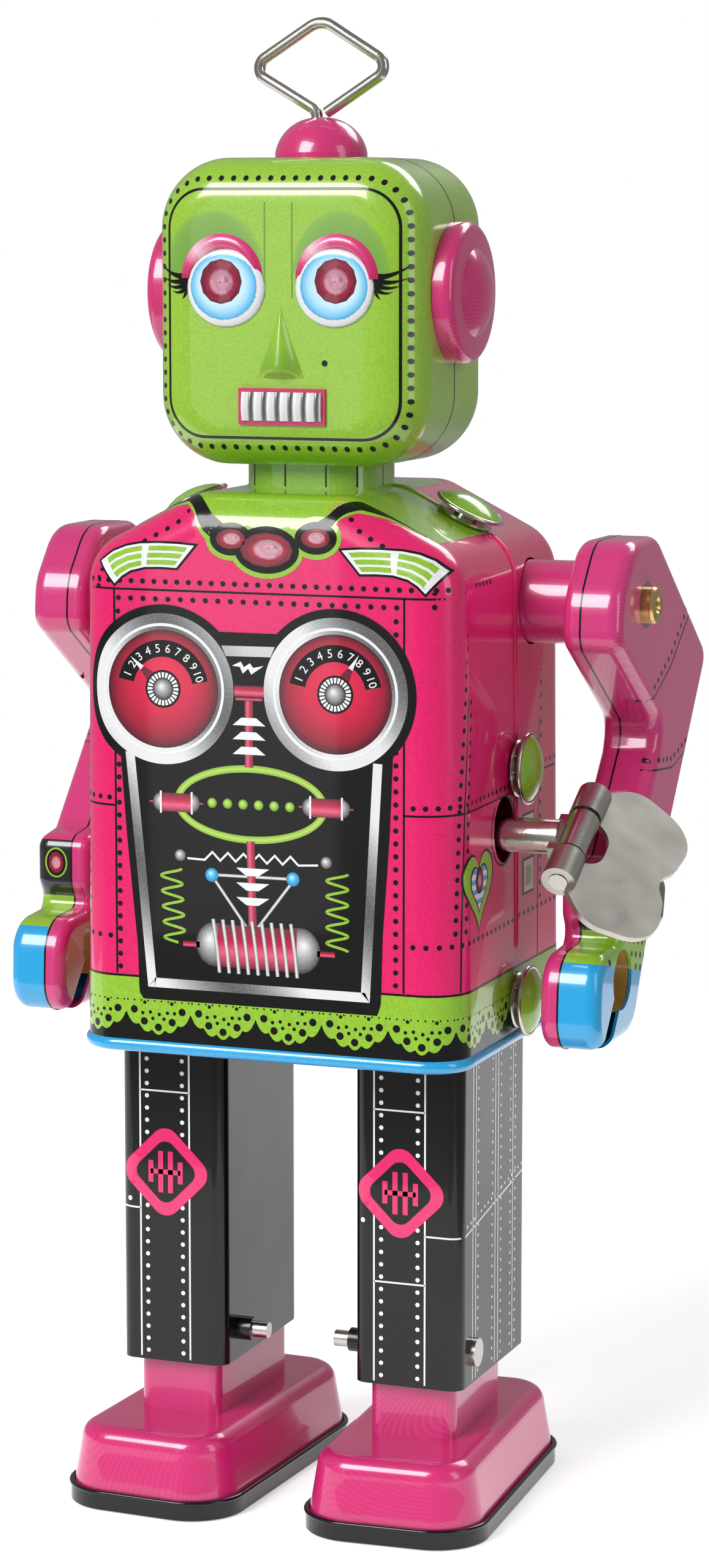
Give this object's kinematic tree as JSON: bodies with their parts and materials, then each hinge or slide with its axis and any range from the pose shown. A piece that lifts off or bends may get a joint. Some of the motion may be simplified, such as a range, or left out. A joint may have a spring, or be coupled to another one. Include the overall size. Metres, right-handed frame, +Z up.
{
  "type": "wind-up walking toy robot",
  "caption": "Box-bodied lithographed tin robot with a clockwork walker inside, a folding winding key, swinging arms with claw hands, hinged legs and shoes with rollers.",
  "frame": {"origin": "on the ground plane under the middle of the body case, between the two shoes", "axes": "+Z up, -Y the way the robot faces, +X its own left side, where the winding key is"},
  "size_m": [0.109, 0.0761, 0.2349],
  "materials": {
    "pink_tin": "gloss printed and lacquered",
    "green_tin": "gloss printed and lacquered",
    "black_tin": "gloss printed and lacquered",
    "nickel": "bright nickel plate",
    "rivet_brass": "bright",
    "spring_steel": "dull, oiled",
    "frame_steel": "plated sheet",
    "gear_brass": "stamped",
    "tin_plate": "bare bright tin",
    "button_green": "transparent green lacquer on bright metal",
    "roller_steel": "turned"
  },
  "bodies": {
    "case": {"body_front_shell": "pink_tin", "body_back_shell": "pink_tin", "base_plate": "tin_plate", "neck_collar": "green_tin", "head_front_shell": "green_tin", "head_back_shell": "green_tin", "ear_cap_left": "pink_tin", "ear_cap_right": "pink_tin", "antenna_dome": "pink_tin", "antenna_wire": "nickel", "seam_buttons": "button_green", "motor_plate_left": "frame_steel", "motor_plate_right": "frame_steel", "motor_pillars": "frame_steel", "pillar_nuts": "frame_steel", "hip_axle": "frame_steel", "mainspring": "spring_steel"},
    "key": {"winding_arbor": "frame_steel", "ratchet_wheel": "frame_steel", "key_stem": "nickel", "key_cross_pin": "nickel"},
    "key_wing": {"key_wing": "nickel"},
    "great_wheel": {"great_wheel": "gear_brass", "click": "spring_steel"},
    "crankshaft": {"crankshaft": "gear_brass", "crank_wheel": "gear_brass", "crank_discs": "gear_brass"},
    "third_wheel": {"third_wheel": "gear_brass"},
    "escape_wheel": {"escape_wheel": "gear_brass"},
    "escape_pallet": {"escape_pallet": "frame_steel"},
    "arm_left": {"arm_outer_shell_left": "pink_tin", "arm_inner_shell_left": "pink_tin", "shoulder_sleeve_left": "pink_tin", "shoulder_rivet_left": "rivet_brass", "shoulder_washer_left": "frame_steel"},
    "leg_left": {"leg_tube_left": "black_tin", "leg_lever_left": "frame_steel", "ankle_pin_left": "nickel", "ankle_sleeve_left": "black_tin"},
    "foot_left": {"ankle_post_left": "pink_tin", "shoe_shell_left": "pink_tin", "sole_pan_left": "black_tin", "roller_axle_left": "frame_steel"},
    "roller_left": {"foot_roller_left": "roller_steel"},
    "arm_right": {"arm_outer_shell_right": "pink_tin", "arm_inner_shell_right": "pink_tin", "shoulder_sleeve_right": "pink_tin", "shoulder_rivet_right": "rivet_brass", "shoulder_washer_right": "frame_steel"},
    "leg_right": {"leg_tube_right": "black_tin", "leg_lever_right": "frame_steel", "ankle_pin_right": "nickel", "ankle_sleeve_right": "black_tin"},
    "foot_right": {"ankle_post_right": "pink_tin", "shoe_shell_right": "pink_tin", "sole_pan_right": "black_tin", "roller_axle_right": "frame_steel"},
    "roller_right": {"foot_roller_right": "roller_steel"}
  },
  "joints": [
    {"name": "key_turn", "type": "hinge", "parent": "case", "child": "key", "pos_m": [0, -0.003, 0.1087], "axis": [1, 0, 0], "range_deg": [0, 20]},
    {"name": "key_wing_fold", "type": "hinge", "parent": "key", "child": "key_wing", "pos_m": [0.0436, -0.003, 0.1087], "axis": [0, 0.866, 0.5], "range_deg": [-125, 0]},
    {"name": "clockwork_run", "type": "hinge", "parent": "case", "child": "great_wheel", "pos_m": [0, -0.003, 0.1087], "axis": [1, 0, 0], "continuous": true},
    {"name": "crankshaft_spin", "type": "hinge", "parent": "case", "child": "crankshaft", "pos_m": [0, 0.001, 0.09633], "axis": [1, 0, 0], "continuous": true},
    {"name": "third_wheel_spin", "type": "hinge", "parent": "case", "child": "third_wheel", "pos_m": [0, 0.0118, 0.10027], "axis": [1, 0, 0], "continuous": true},
    {"name": "escape_wheel_spin", "type": "hinge", "parent": "case", "child": "escape_wheel", "pos_m": [0, 0.01506, 0.10916], "axis": [1, 0, 0], "continuous": true},
    {"name": "escape_pallet_rock", "type": "hinge", "parent": "case", "child": "escape_pallet", "pos_m": [0, 0.01506, 0.1172], "axis": [1, 0, 0], "range_deg": [-4, 4]},
    {"name": "arm_left_swing", "type": "hinge", "parent": "case", "child": "arm_left", "pos_m": [0, 0.012, 0.1439], "axis": [1, 0, 0], "range_deg": [0, 215]},
    {"name": "arm_right_swing", "type": "hinge", "parent": "case", "child": "arm_right", "pos_m": [0, 0.012, 0.1439], "axis": [1, 0, 0], "continuous": true},
    {"name": "leg_left_swing", "type": "hinge", "parent": "case", "child": "leg_left", "pos_m": [0, 0.001, 0.0846], "axis": [1, 0, 0], "range_deg": [-9, 9]},
    {"name": "leg_right_swing", "type": "hinge", "parent": "case", "child": "leg_right", "pos_m": [0, 0.001, 0.0846], "axis": [1, 0, 0], "range_deg": [-9, 9]},
    {"name": "ankle_left", "type": "hinge", "parent": "leg_left", "child": "foot_left", "pos_m": [0.02, -0.009, 0.0265], "axis": [1, 0, 0], "range_deg": [-9, 9]},
    {"name": "ankle_right", "type": "hinge", "parent": "leg_right", "child": "foot_right", "pos_m": [-0.02, -0.009, 0.0265], "axis": [1, 0, 0], "range_deg": [-9, 9]},
    {"name": "roller_left_spin", "type": "hinge", "parent": "foot_left", "child": "roller_left", "pos_m": [0.0201, -0.014, 0.0036], "axis": [0.9986, 0.0523, 0], "continuous": true},
    {"name": "roller_right_spin", "type": "hinge", "parent": "foot_right", "child": "roller_right", "pos_m": [-0.0201, -0.014, 0.0036], "axis": [0.9986, -0.0523, 0], "continuous": true}
  ],
  "couplings": [
    {"joint": "crankshaft_spin", "follows": "clockwork_run", "ratio": -3.3333},
    {"joint": "third_wheel_spin", "follows": "clockwork_run", "ratio": 12},
    {"joint": "escape_wheel_spin", "follows": "clockwork_run", "ratio": -45},
    {"joint": "leg_right_swing", "follows": "leg_left_swing", "ratio": -1},
    {"joint": "ankle_left", "follows": "leg_left_swing", "ratio": -1},
    {"joint": "ankle_right", "follows": "leg_left_swing", "ratio": 1}
  ]
}
